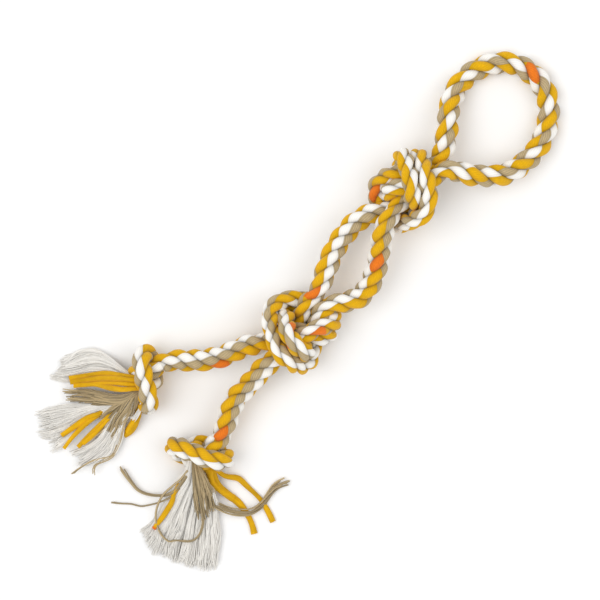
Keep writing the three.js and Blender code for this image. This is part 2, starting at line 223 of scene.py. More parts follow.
# %% Free stretches
ORIGIN = np.array([30.5, 0, 0])
LEFT_TAIL = [(-102.5, 43.5, 23), (-90, 32, 24), (-72, 20.5, 25), (-53, 14, 25)]
LEFT_LEG = [
    (30, 8, 28), (39.5, 13, 28), (50, 18.5, 28), (62, 24, 27), (78, 28, 26.5), (93, 29, 27), (106, 25.5, 27),
]
LEFT_NECK = [(178, 20.5, 26), (189, 25, 26), (201, 34, 24.5), (213, 45, 21)]
HANDLE_LOOP = [
    (225, 53, 16), (239, 58, 12), (255, 58, 9), (272, 52, 8), (285, 40, 8), (291, 24, 8), (291, 8, 8),
    (283, -8, 8), (270, -20, 9), (253, -28, 13), (234, -30, 18),
]
RIGHT_NECK = [(214, -26, 24), (199, -15, 31), (188.5, -3, 36), (179.5, 9.5, 39.5)]
RIGHT_LEG = [
    (113, 12, 39.5), (103, 7.5, 39), (92, -1, 35), (79, -11, 31), (66, -18, 29), (53, -21, 29), (42, -18, 31),
    (32, -11.5, 32),
]
RIGHT_TAIL = [(-50, -11, 31), (-70, -13, 27), (-87, -14.5, 25), (-100, -20, 24), (-111, -26.5, 23)]
print("the hand loop goes through", len(HANDLE_LOOP), "points")

# %% [markdown]
# A knot could be moved by eye in the viewport, but numbers can be repeated: its place, a roll about the
# rope that brings the right turns to the top, and a turn on the floor. The rope is squeezed thinner in it.

# %% Knots in their places
FREE, IN_PAIR, IN_END = 20, 14.2, 15.2  # the rope's diameter, free and in a knot
FLAT_DEPTH = 2  # how much of the underside the floor presses flat
PAIR_REACH, END_REACH = (1.9, 1.9), (1.1, 1.2)  # rope kept towards the tassels and the loop, in diameters


def place_knot(ropes, diameter, at, roll, turn, reach, mirror=1):
    """The ropes of a tight knot in the layout. roll and turn are in degrees."""
    roll, turn = math.radians(roll), math.radians(turn)
    c, s = math.cos(roll), math.sin(roll)
    about_x = np.array([(1, 0, 0), (0, c, -s), (0, s, c)])
    c, s = math.cos(turn), math.sin(turn)
    about_z = np.array([(c, -s, 0), (s, c, 0), UP])
    turned = about_z @ about_x @ np.diag([diameter, diameter * mirror, diameter])
    kept = []
    for rope in ropes:
        first = np.nonzero(rope[:, 0] > -reach[0])[0][0]
        last = np.nonzero(rope[:, 0] < reach[1])[0][-1]
        kept.append(rope[first:last + 1] @ turned.T)
    low, high = np.concatenate(kept).min(0), np.concatenate(kept).max(0)
    move = np.array([*at, diameter / 2 - FLAT_DEPTH]) - [*((low + high) / 2)[:2], low[2]]
    return [rope + move for rope in kept]


upper_right, upper_left = place_knot(tight_pair, IN_PAIR, (143, 20), roll=118, turn=5, reach=PAIR_REACH)
middle_left, middle_right = place_knot(tight_pair, IN_PAIR, (-5, -5), roll=-20, turn=2, reach=PAIR_REACH)
(left_end,) = place_knot(tight_end, IN_END, (-132, 49.5), roll=68, turn=1, reach=END_REACH)
(right_end,) = place_knot(tight_end, IN_END, (-139.5, -28.5), roll=295, turn=-6, reach=END_REACH, mirror=-1)
tops = [rope[:, 2].max() for rope in (upper_left, middle_left, left_end, right_end)]
print("height of a rope's line in the upper, middle and both end knots:", np.round(tops, 1), "mm")

# %% [markdown]
# Knots and stretches are lengths of one rope. With a curve for each, the rope would kink where two meet. So
# one curve runs from tassel to tassel, and a length is a span of it.

# %% One line for the whole rope
LINE_STEPS = 12  # steps that measure the line between two of its points
LENGTHS = {  # points, and the diameter where they lie in a knot
    "left_end_knot": (left_end, IN_END),
    "left_tail": (LEFT_TAIL, None),
    "middle_knot_left_rope": (middle_left, IN_PAIR),
    "left_leg": (LEFT_LEG, None),
    "upper_knot_left_rope": (upper_left, IN_PAIR),
    "left_handle_neck": (LEFT_NECK, None),
    "handle_loop": (HANDLE_LOOP, None),
    "right_handle_neck": (RIGHT_NECK, None),
    "upper_knot_right_rope": (upper_right[::-1], IN_PAIR),
    "right_leg": (RIGHT_LEG, None),
    "middle_knot_right_rope": (middle_right[::-1], IN_PAIR),
    "right_tail": (RIGHT_TAIL, None),
    "right_end_knot": (right_end[::-1], IN_END),
}
route = np.concatenate([np.asarray(points, float) for points, _ in LENGTHS.values()])
line_t = np.linspace(0, 1, (len(route) - 1) * LINE_STEPS + 1)
travelled = lengths(curve(route, line_t))
spans, used = {}, 0
for name, (points, _) in LENGTHS.items():
    spans[name] = [travelled[used * LINE_STEPS], travelled[(used + len(points) - 1) * LINE_STEPS]]
    used += len(points)
names = list(LENGTHS)
for before, name, after in zip(names, names[1:], names[2:]):
    if LENGTHS[name][1] is None and name != "handle_loop":
        spans[name] = [spans[before][1], spans[after][0]]
print("rope:", round(travelled[-1]), "mm;", {name: round(b - a) for name, (a, b) in spans.items()})

# %% [markdown]
# ## Colours
# The rope is spun from white, golden yellow and tan cotton, with a few orange yarns. A colour could be
# picked by eye. Written as on a screen it can be compared with the photograph, and a function gives the
# linear values that shaders take.

# %% Colours
def srgb(text):
    """A colour written as #rrggbb, in linear values."""
    parts = [int(text[k:k + 2], 16) / 255 for k in (1, 3, 5)]
    return (*(c / 12.92 if c <= 0.04045 else ((c + 0.055) / 1.055) ** 2.4 for c in parts), 1)


WHITE, YELLOW, TAN, ORANGE = srgb("#f2efe9"), srgb("#dca806"), srgb("#ad9a76"), srgb("#e2761c")
print("yellow in linear values:", np.round(YELLOW, 3))

# %% [markdown]
# Fine fibres run along each yarn. Hairs could show them, but at this size they are only streaks. Noise
# stretched along the yarn makes the streaks, and slower noise makes blotches, the painted shade and light of
# creased yarn. As a group it serves rope and threads alike.

# %% The fibre group
STREAKS_ALONG, BLOTCHES_ALONG = 90, 60  # how fast the noise changes along a yarn, in steps to a metre
BLOTCHES_ACROSS = 0.4


def add(tree, kind, inputs=None, **options):
    """Adds a node and returns its outputs. An input is given a value, or a link if it is another output."""
    node = tree.nodes.new(kind)
    for key, value in options.items():
        setattr(node, key, value)
    for key, value in (inputs or {}).items():
        if isinstance(value, bpy.types.NodeSocket):
            tree.links.new(value, node.inputs[key])
        else:
            node.inputs[key].default_value = value
    return node.outputs


def calc(operation, *values):
    """A Math node, in the tree that its linked values belong to."""
    tree = next(value.id_data for value in values if isinstance(value, bpy.types.NodeSocket))
    return add(tree, "ShaderNodeMath", dict(enumerate(values)), operation=operation)[0]


def stretched_noise(tree, across, along, seed, **settings):
    place = add(tree, "ShaderNodeCombineXYZ", {"X": across, "Y": along, "Z": seed})[0]
    return add(tree, "ShaderNodeTexNoise", {"Vector": place, **settings})["Fac"]


fibres = bpy.data.node_groups.new("fibres", "ShaderNodeTree")
for label in ("Across", "Along", "Seed"):
    fibres.interface.new_socket(label, in_out="INPUT", socket_type="NodeSocketFloat")
for label in ("Streak", "Blotch"):
    fibres.interface.new_socket(label, in_out="OUTPUT", socket_type="NodeSocketFloat")
across, along, seed = fibres.nodes.new("NodeGroupInput").outputs[:3]
result = fibres.nodes.new("NodeGroupOutput").inputs
along_streaks = calc("MULTIPLY", along, STREAKS_ALONG)
streak = stretched_noise(fibres, across, along_streaks, seed, Scale=4, Detail=4, Roughness=0.65)
across_blotches = calc("MULTIPLY", across, BLOTCHES_ACROSS)
along_blotches = calc("MULTIPLY", along, BLOTCHES_ALONG)
blotch = stretched_noise(fibres, across_blotches, along_blotches, seed, Scale=1, Detail=2)
fibres.links.new(streak, result["Streak"])
fibres.links.new(blotch, result["Blotch"])
print("fibre group:", len(fibres.nodes), "nodes")

# %% [markdown]
# ## Colours round a strand
# Each strand is spun from a white, a tan and a wider yellow sliver, and twisted against the lay of the
# rope, so that the colours run nearly along it. A wrapped image would stretch in the knots. Counting yarns
# round the strand gives the colour at any point, and the grooves between slivers with it.

# %% Slivers of a strand
YARNS = 12  # round one strand: white from 0, then tan, then yellow up to the last
THIRD = YARNS // 3
TAN_FROM, YELLOW_FROM = 3.5, 6.7
DOME_POWER = 3  # the higher, the flatter is the middle of a dome


def dome(value):
    """1 in the middle of a whole step of value, 0 at its edges."""
    edge = calc("SUBTRACT", calc("MULTIPLY", calc("FRACT", value), 2), 1)
    return calc("SUBTRACT", 1, calc("POWER", calc("ABSOLUTE", edge), DOME_POWER))


def yarn_number(around, strand, spin, slip):
    """Which yarn lies at a point of a strand, counted from 0 and without end."""
    slipped = calc("MULTIPLY", calc("MULTIPLY", strand, slip), -THIRD)
    return calc("MULTIPLY_ADD", around, YARNS, calc("ADD", spin, slipped))


def slivers(yarn):
    """Whether a yarn is tan, whether it is yellow, and how far across its sliver it lies, from 0 to 1."""
    place = calc("FLOORED_MODULO", yarn, YARNS)
    is_yellow = calc("GREATER_THAN", place, YELLOW_FROM)
    is_tan = calc("SUBTRACT", calc("GREATER_THAN", place, TAN_FROM), is_yellow)
    first = calc("MULTIPLY_ADD", is_tan, TAN_FROM, calc("MULTIPLY", is_yellow, YELLOW_FROM))
    width = calc("MULTIPLY_ADD", is_tan, YELLOW_FROM - 2 * TAN_FROM, TAN_FROM)
    width = calc("MULTIPLY_ADD", is_yellow, YARNS - YELLOW_FROM - TAN_FROM, width)
    return is_tan, is_yellow, calc("DIVIDE", calc("SUBTRACT", place, first), width)


shares = np.diff([0, TAN_FROM, YELLOW_FROM, YARNS]) / YARNS
print("shares of white, tan and yellow:", shares.round(2))

# %% [markdown]
# In cross-section a strand is a lobe, round outside and pressed flat against the other two. Round strands
# would be simpler but leave a hole in the rope. The flat sides meet on its axis, 60 degrees to either side.

# %% A strand's section
LOBE_RADIUS = 0.28  # of a strand's round side, in rope diameters
LOBE_OFFSET = 0.5 - LOBE_RADIUS  # of its centre from the rope's axis
FLAT_SIDE = math.pi / 3

# the round side ends where it meets the flat sides
flat_length = LOBE_OFFSET / 2 + math.sqrt(LOBE_RADIUS ** 2 - 0.75 * LOBE_OFFSET ** 2)
half_arc = math.atan2(flat_length * math.sin(FLAT_SIDE), flat_length / 2 - LOBE_OFFSET)
print("round side of a strand:", round(math.degrees(2 * half_arc)), "degrees of a circle")

# %% [markdown]
# Cotton is dull, with a little sheen where light grazes it. A hair shader could show that, but the Principled
# shader has Sheen and stays one node. A value dims its colour, with fibres and painted shade in it, and a
# bump gives it relief.

# %% Cotton
COTTON = {"Roughness": 0.9, "Specular IOR Level": 0.2, "Sheen Weight": 0.15, "Sheen Roughness": 0.5}


def cotton(name):
    """A new material, with its tree and its shader."""
    material = bpy.data.materials.new(name)
    material.use_nodes = True
    shader = material.node_tree.nodes["Principled BSDF"]
    for label, value in COTTON.items():
        shader.inputs[label].default_value = value
    return material, material.node_tree, shader


def attribute(tree, name):
    """A value that the mesh carries."""
    return add(tree, "ShaderNodeAttribute", attribute_name=name)["Fac"]


def mix(factor, a, b):
    inputs = {"Factor": factor, "A": a, "B": b}
    return add(factor.id_data, "ShaderNodeMix", inputs, data_type="RGBA")["Result"]


def fibre_streaks(tree, across, along, seed):
    return add(tree, "ShaderNodeGroup", {"Across": across, "Along": along, "Seed": seed}, node_tree=fibres)


def dress(shader, colour, light, height, strength, depth):
    """Gives the shader a colour that light dims, where light holds fibres and painted shade, and a relief."""
    tree = shader.id_data
    tinted = add(tree, "ShaderNodeVectorMath", {0: colour, "Scale": light}, operation="SCALE")["Vector"]
    tree.links.new(tinted, shader.inputs["Base Color"])
    relief = add(tree, "ShaderNodeBump", {"Strength": strength, "Distance": depth, "Height": height})
    tree.links.new(relief["Normal"], shader.inputs["Normal"])


print("cotton:", COTTON)

# %% [markdown]
# ## Rope material
# On the rope, painted shade darkens a sliver towards its edges, its yarns are ridges with painted shade
# between them and painted light on their crests, and the valley between two strands gets a painted shadow.
# Only strands and slivers are large enough to be modelled, so the rest is shading. Where the mesh says so, an
# orange yarn comes up in place of yellow.

# %% Rope material
BRIGHTNESS = 0.97
STREAKS, MORE_STREAKS = 0.22, 0.55  # strength of the fibres in white yarn, and what tan and yellow add
# the ridges also set the painted shade between yarns and the painted light on their crests
RIDGE, MORE_RIDGE = 0.12, 0.35  # depth of the ridges, and what the harder-spun tan adds
RIDGES = 1.5  # to each yarn
# painted shade towards the edges of a sliver, where the grooves between slivers lie
SLIVER_EDGE, SLIVER_MIDDLE = 0.83, 0.2  # brightness at a sliver's edge, and what its middle adds
# painted shadow in the valley where two strands meet
VALLEY_SHADE, VALLEY_POWER = 0.45, 5  # how much darker it is where two strands meet, and how suddenly
SAME_STRAND = 0.3  # strand numbers that differ less are the same


def make_rope_material():
    material, tree, shader = cotton("rope")
    along, around, strand, spin, slip = (attribute(tree, label) for label in (
        "along", "around", "strand", "spin", "slip"))
    yarn = yarn_number(around, strand, spin, slip)
    is_tan, is_yellow, across = slivers(yarn)
    is_dyed = calc("GREATER_THAN", attribute(tree, "dyed"), 0.5)
    on_strand = calc("COMPARE", strand, attribute(tree, "orange"), SAME_STRAND)
    is_orange = calc("MULTIPLY", calc("MULTIPLY", is_dyed, on_strand), is_yellow)
    colour = mix(is_orange, mix(is_yellow, mix(is_tan, WHITE, TAN), YELLOW), ORANGE)
    streaks = calc("MULTIPLY_ADD", is_yellow, MORE_STREAKS, STREAKS)
    streaks = calc("MULTIPLY_ADD", is_tan, MORE_STREAKS, streaks)
    fibre = fibre_streaks(tree, yarn, along, strand)["Streak"]
    streak = calc("MULTIPLY", calc("SUBTRACT", fibre, 0.5), streaks)
    depth = calc("MULTIPLY_ADD", is_tan, MORE_RIDGE, RIDGE)
    ridge = calc("MULTIPLY", dome(calc("MULTIPLY", yarn, RIDGES)), depth)
    light = calc("ADD", streak, BRIGHTNESS)
    # painted shade: darker towards each sliver's edges
    sliver_edge_shade = calc("MULTIPLY_ADD", dome(across), SLIVER_MIDDLE, SLIVER_EDGE)
    # painted shade between the yarns and painted light on their crests
    painted_ridge_shade = calc("ADD", calc("MULTIPLY_ADD", depth, -0.5, 1), ridge)
    # painted shadow, darkest at the edge of a strand's round side
    to_edge = calc("MULTIPLY", calc("ABSOLUTE", around), 2 * math.pi / half_arc)
    valley_shade = calc("MULTIPLY", calc("POWER", to_edge, VALLEY_POWER), VALLEY_SHADE)
    for part in (sliver_edge_shade, painted_ridge_shade, calc("SUBTRACT", 1, valley_shade)):
        light = calc("MULTIPLY", light, part)
    dress(shader, colour, light, calc("ADD", ridge, streak), strength=0.6, depth=0.5 * MM)
    return material


rope_material = make_rope_material()
print("rope material:", len(rope_material.node_tree.nodes), "nodes")

# %% [markdown]
# ## Strands
# Three strands are laid up into the rope. Drawing them by hand would take long, and a twist modifier only
# follows a straight line. So a node tree grows them on the rope's line. First it copies the line for each
# strand and gives every point its turn.

# %% The rope's line, once for each strand
LAY = 47 * MM  # length in which a strand goes once round the rope
STRANDS = 3


def geo(tree, kind, inputs=None, **options):
    """Adds a geometry node and returns its first output."""
    return add(tree, "GeometryNode" + kind, inputs, **options)[0]


def read(tree, name, kind="FLOAT"):
    return add(tree, "GeometryNodeInputNamedAttribute", {"Name": name}, data_type=kind)["Attribute"]


def store(tree, geometry, name, value):
    inputs = {"Geometry": geometry, "Name": name, "Value": value}
    return geo(tree, "StoreNamedAttribute", inputs, domain="POINT")


def growing_tree(name, **sockets):
    """A geometry tree with named inputs; returns it with its input and output sockets."""
    tree = bpy.data.node_groups.new(name, "GeometryNodeTree")
    tree.interface.new_socket("Geometry", in_out="INPUT", socket_type="NodeSocketGeometry")
    for label, kind in sockets.items():
        tree.interface.new_socket(label, in_out="INPUT", socket_type="NodeSocket" + kind)
    tree.interface.new_socket("Geometry", in_out="OUTPUT", socket_type="NodeSocketGeometry")
    return tree, tree.nodes.new("NodeGroupInput").outputs, tree.nodes.new("NodeGroupOutput").inputs


def facing_side(tree, line):
    """The line with its normals turned to the side that its points carry."""
    side = read(tree, "side", "FLOAT_VECTOR")
    return geo(tree, "SetCurveNormal", {"Curve": line, "Normal": side}, mode="FREE")


tree, given, result = growing_tree("laid_rope", Lay="Float", Strands="Int", Material="Material")
line = geo(tree, "MeshToCurve", {"Mesh": given["Geometry"]})
copies = add(tree, "GeometryNodeDuplicateElements", {
    "Geometry": line, "Amount": given["Strands"]}, domain="SPLINE")
number = copies["Duplicate Index"]
turn = calc("DIVIDE", read(tree, "along"), given["Lay"])
turn = calc("ADD", turn, calc("DIVIDE", number, given["Strands"]))
line = store(tree, copies["Geometry"], "strand", number)
line = facing_side(tree, store(tree, line, "turn", turn))
tilt = calc("MULTIPLY", read(tree, "turn"), 2 * math.pi)
line = geo(tree, "SetCurveTilt", {"Curve": line, "Tilt": tilt})
print("rope tree takes", given.keys()[:-1])

# %% [markdown]
# Then it draws the lobe: an arc, moved out from a point on the rope's axis. A drawn curve would do too, but
# this one follows the values above. Each point keeps how far round the strand it lies.

# %% The lobe
LOBE_POINTS = 31

arc = geo(tree, "CurveArc", {
    "Resolution": LOBE_POINTS, "Radius": LOBE_RADIUS, "Start Angle": -half_arc, "Sweep Angle": 2 * half_arc,
    "Connect Center": True}, mode="RADIUS")
index = geo(tree, "InputIndex")
on_axis = calc("GREATER_THAN", index, LOBE_POINTS - 0.5)
lobe = geo(tree, "SetPosition", {
    "Geometry": arc, "Selection": calc("SUBTRACT", 1, on_axis), "Offset": (LOBE_OFFSET, 0, 0)})
around = calc("SUBTRACT", calc("DIVIDE", index, LOBE_POINTS - 1), 0.5)
lobe = store(tree, lobe, "around", calc("MULTIPLY", around, half_arc / math.pi))
lobe = store(tree, lobe, "axis", on_axis)
print("lobe:", LOBE_POINTS, "points on its round side")

# %% [markdown]
# Last it sweeps the lobe along the turned lines and sinks the surface where one sliver meets the next. A
# bump could show these grooves, but not in the outline. They are counted like the colours, so both lie in
# the same places.

# %% Swept strands
GROOVE = 0.022  # depth of the groove between two slivers, in rope diameters
ROUND_LIMIT = 0.01  # a point with less of the axis in it lies on the round side


def swept_along(tree, line, section):
    """A section swept along a line, as thick as the line's points say."""
    return geo(tree, "CurveToMesh", {
        "Curve": line, "Profile Curve": section, "Scale": read(tree, "thick"), "Fill Caps": True})


def put_out(tree, geometry, given, result):
    """Ends a tree with plain geometry in its material."""
    geometry = geo(tree, "RealizeInstances", {"Geometry": geometry})
    geometry = geo(tree, "SetMaterial", {"Geometry": geometry, "Material": given["Material"]})
    tree.links.new(geometry, result["Geometry"])


swept = swept_along(tree, line, lobe)
is_round = calc("LESS_THAN", read(tree, "axis"), ROUND_LIMIT)
yarn = yarn_number(*(read(tree, label) for label in ("around", "strand", "spin", "slip")))
sunk = calc("SUBTRACT", dome(slivers(yarn)[2]), 1)
sunk = calc("MULTIPLY", sunk, calc("MULTIPLY", read(tree, "thick"), GROOVE))
normal = geo(tree, "InputNormal")
inwards = add(tree, "ShaderNodeVectorMath", {0: normal, "Scale": sunk}, operation="SCALE")[0]
swept = geo(tree, "SetPosition", {"Geometry": swept, "Selection": is_round, "Offset": inwards})
swept = geo(tree, "SetShadeSmooth", {"Geometry": swept, "Shade Smooth": is_round}, domain="FACE")
put_out(tree, swept, given, result)
rope_tree = tree
print("rope tree:", len(rope_tree.nodes), "nodes")

# %% [markdown]
# The strands have to meet where one length ends and the next begins. Normals chosen for each length would
# start anew, so the side that the lobes turn from is carried along the whole rope with as little twist as
# possible. Past a knot the squeezed rope swells to its full size.

# %% Stations along the rope
RING_STEP = 1.4  # millimetres between two rings
SHOWN = {IN_PAIR: 16, IN_END: 17.6}  # how thick the squeezed rope looks
SWELL_LENGTH = 26  # in which it swells past a knot


def smooth(x, low, high):
    """0 up to low, 1 from high on, and a soft step between them."""
    x = np.clip((np.asarray(x, float) - low) / (high - low), 0, 1)
    return x * x * (3 - 2 * x)


def thickness(distance):
    """How thick the rope looks at distances along it."""
    result = np.full(len(distance), float(FREE))
    for name, (_, squeezed) in LENGTHS.items():
        if squeezed:
            first, last = spans[name]
            outside = np.maximum(np.maximum(first - distance, distance - last), 0)
            grown = SHOWN[squeezed] + (FREE - SHOWN[squeezed]) * smooth(outside, 0, SWELL_LENGTH)
            result = np.minimum(result, grown)
    return result


stations, part_of = [], {}
for name, (first, last) in spans.items():
    steps = round((last - first) / RING_STEP)
    at = len(stations) - 1 if stations else 0
    stations += list(np.linspace(first, last, steps + 1))[1 if stations else 0:]
    part_of[name] = slice(at, len(stations))
stations = np.array(stations)
station_t = np.interp(stations, travelled, line_t)
rope_points = (curve(route, station_t) - ORIGIN) * MM
directions = tangents(route, station_t)
sides = [np.cross(UP, directions[0])]
for direction in directions:
    side = sides[-1] - direction * (sides[-1] @ direction)
    sides.append(side / np.linalg.norm(side))
sides = np.array(sides[1:])
thick = thickness(stations) * MM
print("stations:", len(stations), "on a rope", thick.min().round(4), "to", thick.max().round(4), "m thick")

# %% [markdown]
# On legs and tails each colour keeps to one side and wanders slowly round, because a strand twists a little
# more than two turns in a lay. On the hand loop the strands are shifted, and each crest shows another
# colour. One even twist would match neither. The knots take up what brings a chosen yarn to the top halfway
# along each stretch.

# %% Twist of the yarns
STRIPED, CHEQUERED = 2.26, 2.0  # turns of a strand's yarns in one lay, on the stretches and on the loop
UPPERMOST = {"left_tail": 5.6, "left_leg": 2.2, "handle_loop": 9.4, "right_leg": 9.9, "right_tail": 5.6}
CHANGE = 60  # millimetres outside the necks where the twist begins to change


def upper_strand(distance):
    """The uppermost strand at a distance along the rope, and the station where its crest is on top."""
    k = np.argmin(abs(stations - distance))
    up = math.atan2(np.cross(directions[k], sides[k])[2], sides[k, 2]) / (2 * np.pi)
    turns = up - stations[k] * MM / LAY - np.arange(STRANDS) / STRANDS
    turns -= np.round(turns)
    strand = np.argmin(abs(turns))
    return strand, np.argmin(abs(stations - stations[k] - turns[strand] * LAY / MM))


loop_share = smooth(stations, spans["left_handle_neck"][0] - CHANGE, spans["handle_loop"][0])
loop_share *= 1 - smooth(stations, spans["handle_loop"][1], spans["right_handle_neck"][1] + CHANGE)
slip = 1 - loop_share
rate = (STRIPED + (CHEQUERED - STRIPED) * loop_share) * YARNS / (LAY / MM)
spin = np.concatenate([[0], np.cumsum((rate[1:] + rate[:-1]) / 2 * np.diff(stations))])
places, shifts = [], []
for name, wanted in UPPERMOST.items():
    strand, k = upper_strand(sum(spans[name]) / 2)
    shift = wanted - spin[k] + THIRD * strand * slip[k]
    shift -= YARNS * round((shift - (shifts or [0])[-1]) / YARNS)
    places += spans[name]
    shifts += [shift, shift]
spin += np.interp(stations, places, shifts)
print("yarns shifted by", [round(shift, 1) for shift in shifts[::2]])

# %% [markdown]
# Here and there an orange yarn comes up for less than half a lay. Dyed all along, it would also show
# elsewhere. So only these places are dyed, on the strand that lies uppermost. A second value ends the dye
# sharply.

# %% Orange places
ORANGE_AT = {  # share of each length
    "left_tail": 0.45, "middle_knot_left_rope": 0.59, "left_leg": 0.04, "upper_knot_left_rope": 0.78,
    "handle_loop": 0.49, "right_leg": 0.42, "middle_knot_right_rope": 0.89, "right_tail": 0.93,
}
STRAND_REACH, DYE_REACH = 0.4, 0.2  # to either side of the place, in lays

orange, dyed = np.zeros(len(stations)), np.zeros(len(stations))
for name, share in ORANGE_AT.items():
    first, last = spans[name]
    place = first + share * (last - first)
    strand, _ = upper_strand(place)
    orange[abs(stations - place) < STRAND_REACH * LAY / MM] = strand
    dyed[abs(stations - place) < DYE_REACH * LAY / MM] = 1
print("orange places:", len(ORANGE_AT), "on", int(dyed.sum()), "stations")

# %% [markdown]
# ## Rope pieces
# A tree grows on bare lines whose points carry values. It could stay as a modifier, but pieces that move
# are plain meshes, so the result is kept and the modifier is taken off. The floor presses undersides flat.

# %% Growing a piece
FLOOR_GAP = 0.2  # millimetres between the floor and the lowest yarn


def grow(name, lines, values, tree, **inputs):
    """A mesh that a tree grows on lines. values gives one number or vector for each point of each line."""
    mesh = bpy.data.meshes.new(name)
    sizes = [len(line) for line in lines]
    starts = np.cumsum([0] + sizes)
    edges = [(k, k + 1) for a, n in zip(starts, sizes) for k in range(a, a + n - 1)]
    mesh.from_pydata(np.concatenate(lines).tolist(), edges, [])
    for label, rows in values.items():
        rows = np.concatenate(rows).astype(np.float32)
        kind, field = ("FLOAT_VECTOR", "vector") if rows.ndim == 2 else ("FLOAT", "value")
        mesh.attributes.new(label, kind, "POINT").data.foreach_set(field, rows.ravel())
    piece = new_object(name, mesh)
    modifier = piece.modifiers.new("grow", "NODES")
    modifier.node_group = tree
    ids = {item.name: item.identifier for item in tree.interface.items_tree if item.in_out == "INPUT"}
    for label, value in inputs.items():
        modifier[ids[label]] = value
    grown = piece.evaluated_get(bpy.context.evaluated_depsgraph_get())
    plain = bpy.data.meshes.new_from_object(grown)
    piece.modifiers.clear()
    piece.data = plain
    bpy.data.meshes.remove(mesh)
    plain.name = name
    return piece


def press_flat(piece):
    """Lifts what lies lower than the floor lets it."""
    places = np.zeros(3 * len(piece.data.vertices), np.float32)
    piece.data.vertices.foreach_get("co", places)
    places[2::3] = np.maximum(places[2::3], FLOOR_GAP * MM)
    piece.data.vertices.foreach_set("co", places)
    piece.data.update()


print("pieces stop", FLOOR_GAP, "mm above the floor")

# %% [markdown]
# The rope is cut into the lengths that move apart. Cut square, they would show a slit when one bends. So
# each runs on for two rings past its ends, drawn in to hide inside its neighbour. A length in a knot moves
# with that knot.

# %% Ropes in the knots
DRAWN_IN = (1, 0.985, 0.9)  # thickness up to the end of a length, and of the rings past it


def rope_piece(name, *nodes):
    """One length of rope that stands for some solids, and its line without the rings past its ends."""
    first, last = part_of[nodes[0]].start, part_of[nodes[-1]].stop
    numbers = np.arange(len(stations))
    beyond = np.maximum(np.maximum(first - numbers, numbers - last + 1), 0)
    part = beyond < len(DRAWN_IN)
    values = dict(along=stations * MM, side=sides, spin=spin, slip=slip, orange=orange, dyed=dyed)
    values = {label: [rows[part]] for label, rows in values.items()}
    values["thick"] = [thick[part] * np.array(DRAWN_IN)[beyond[part]]]
    piece = grow(
        name, [rope_points[part]], values, rope_tree, Lay=LAY, Strands=STRANDS, Material=rope_material)
    press_flat(piece)
    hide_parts(*nodes)
    return piece, rope_points[first:last]


KNOT_BODIES = {
    "left_end_knot": "left_end", "right_end_knot": "right_end",
    "middle_knot_left_rope": "middle_knot", "middle_knot_right_rope": "middle_knot",
    "upper_knot_left_rope": "upper_knot", "upper_knot_right_rope": "upper_knot",
}
for node, body in KNOT_BODIES.items():
    piece, _ = rope_piece(node + "_strands", node)
    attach(piece, body)
    print(piece.name, len(piece.data.polygons), "faces")

# %% [markdown]
# A free stretch lies between the two bodies that it joins; here it stays a plain mesh in its place. The hand
# loop with its necks is one cord that leaves the upper knot and goes back into it.

# %% Free rope
STRETCHES = {  # body at the stretch's first point, body at its last
    "left_tail": ("left_end", "middle_knot"), "right_tail": ("middle_knot", "right_end"),
    "left_leg": ("middle_knot", "upper_knot"), "right_leg": ("upper_knot", "middle_knot"),
}
for node, (body_a, body_b) in STRETCHES.items():
    piece, path = rope_piece(node + "_strands", node)
    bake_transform(piece)

handle, path = rope_piece("handle_strands", "left_handle_neck", "handle_loop", "right_handle_neck")
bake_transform(handle)

# %% [markdown]
# ## Loose yarn
# Past an end knot the rope is frayed into its yarns. Hair could make them, but it has no cut ends or flat
# sides. So a second tree sweeps a small section along many lines and lets them frizz, more towards their
# ends. For ribbons the section is flattened and folded.

# %% The tree that makes yarn of lines
THREADS_APART = 40  # step in the noise from the darkest thread to the lightest, so that each has its own
FOLD_MIDDLE = 0.25  # the fold leaves the section where it is at this distance from its middle

tree, given, result = growing_tree(
    "loose_yarn", Sides="Int", Flatness="Float", Fold="Float", Frizz="Float", Curl="Float", Seed="Float",
    Material="Material")
line = geo(tree, "MeshToCurve", {"Mesh": given["Geometry"]})
own_noise = calc("MULTIPLY", read(tree, "shade"), THREADS_APART)
noise = add(tree, "ShaderNodeTexNoise", {
    "Vector": geo(tree, "InputPosition"),
    "W": calc("ADD", given["Seed"], own_noise),
    "Scale": given["Curl"], "Detail": 1}, noise_dimensions="4D")["Color"]
middle = add(tree, "ShaderNodeVectorMath", {0: noise, 1: (0.5, 0.5, 0.5)}, operation="SUBTRACT")[0]
amount = calc("MULTIPLY", given["Frizz"], read(tree, "loose"))
offset = add(tree, "ShaderNodeVectorMath", {0: middle, "Scale": amount}, operation="SCALE")[0]
line = geo(tree, "SetPosition", {"Geometry": line, "Offset": offset})
line = facing_side(tree, line)
ring = geo(tree, "CurvePrimitiveCircle", {"Resolution": given["Sides"], "Radius": 0.5})
flat = add(tree, "ShaderNodeCombineXYZ", {"X": 1, "Y": given["Flatness"], "Z": 1})[0]
ring = geo(tree, "Transform", {"Geometry": ring, "Scale": flat})
place = geo(tree, "InputPosition")
across = calc("ABSOLUTE", add(tree, "ShaderNodeSeparateXYZ", {0: place})["X"])
fold = calc("MULTIPLY", calc("SUBTRACT", FOLD_MIDDLE, across), given["Fold"])
folded = add(tree, "ShaderNodeCombineXYZ", {"Y": fold})[0]
ring = geo(tree, "SetPosition", {"Geometry": ring, "Offset": folded})
index = geo(tree, "InputIndex")
ring = store(tree, ring, "around", calc("DIVIDE", index, given["Sides"]))
put_out(tree, swept_along(tree, line, ring), given, result)
yarn_tree = tree
print("yarn tree:", len(yarn_tree.nodes), "nodes")

# %% [markdown]
# A loose thread has one colour and is a shade lighter or darker than the next. The rope's material could
# serve but does more than a thread needs. White and tan threads carry their fibres wound round them, and
# flat yellow yarn carries them straight.

# %% Yarn materials
THREAD_BRIGHTNESS = 0.95
STREAKS_AROUND = 6
FIBRES_APART = 50  # step in the fibre noise from the darkest thread to the lightest


